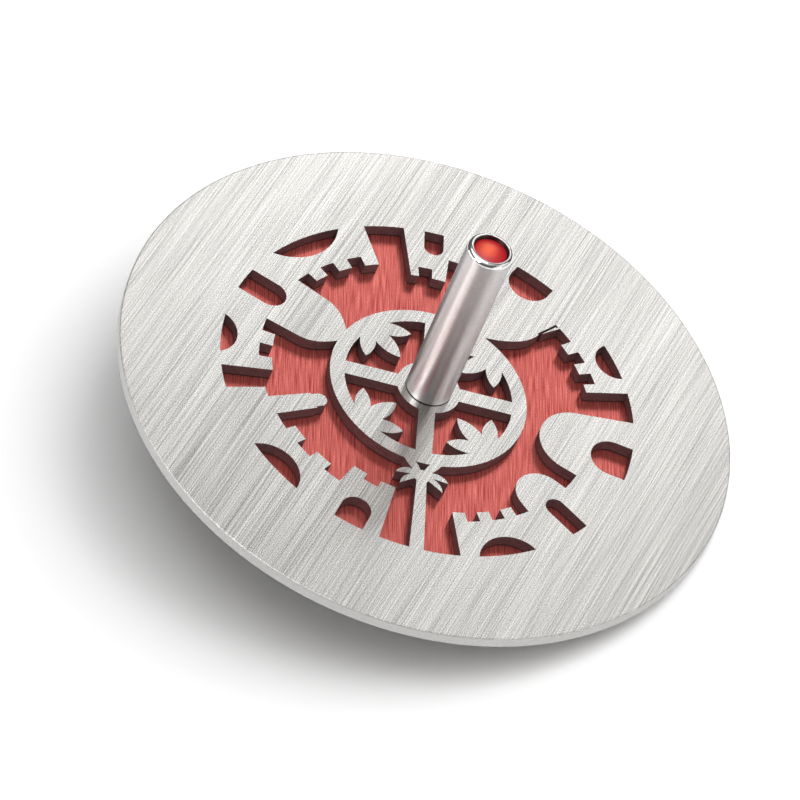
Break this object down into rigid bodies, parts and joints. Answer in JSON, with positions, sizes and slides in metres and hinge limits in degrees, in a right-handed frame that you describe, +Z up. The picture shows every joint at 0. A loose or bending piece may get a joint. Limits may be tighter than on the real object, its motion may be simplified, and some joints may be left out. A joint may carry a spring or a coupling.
{
  "type": "spinning top",
  "caption": "Spinning top lying at rest on its tip and rim: pierced brushed-metal disc with a skyline pattern over a red disc, turned metal handle with a red inset.",
  "frame": {"origin": "the point where the tip touches the table, which is the point the top spins on", "axes": "+Z is up from the table. The spin axis passes through the tip's centre and leans 16.84 degrees from +Z towards +X, as the top lies at rest on its tip and on the rim at +X. +Y completes the right-handed frame, level and square to the lean. Turning the row by -16.84 degrees about +Y, at the tip's centre, stands the top upright."},
  "size_m": [0.0769, 0.08, 0.0388],
  "materials": {
    "brushed_plate": "straight brushed, satin",
    "red_anodised": "brushed and anodised red",
    "film": "dark adhesive film",
    "turned_handle": "turned satin with a polished lip",
    "red_inset": "polished, slightly translucent",
    "plain_steel": "machined",
    "turned_foot": "turned satin",
    "hard_steel": "polished bearing ball"
  },
  "bodies": {
    "root": {"pierced_disc": "brushed_plate", "bonding_film": "film", "colour_disc": "red_anodised", "handle": "turned_handle", "handle_cabochon": "red_inset", "spindle": "plain_steel", "clamp_washer": "plain_steel", "foot": "turned_foot", "tip_ball": "hard_steel"}
  },
  "joints": []
}
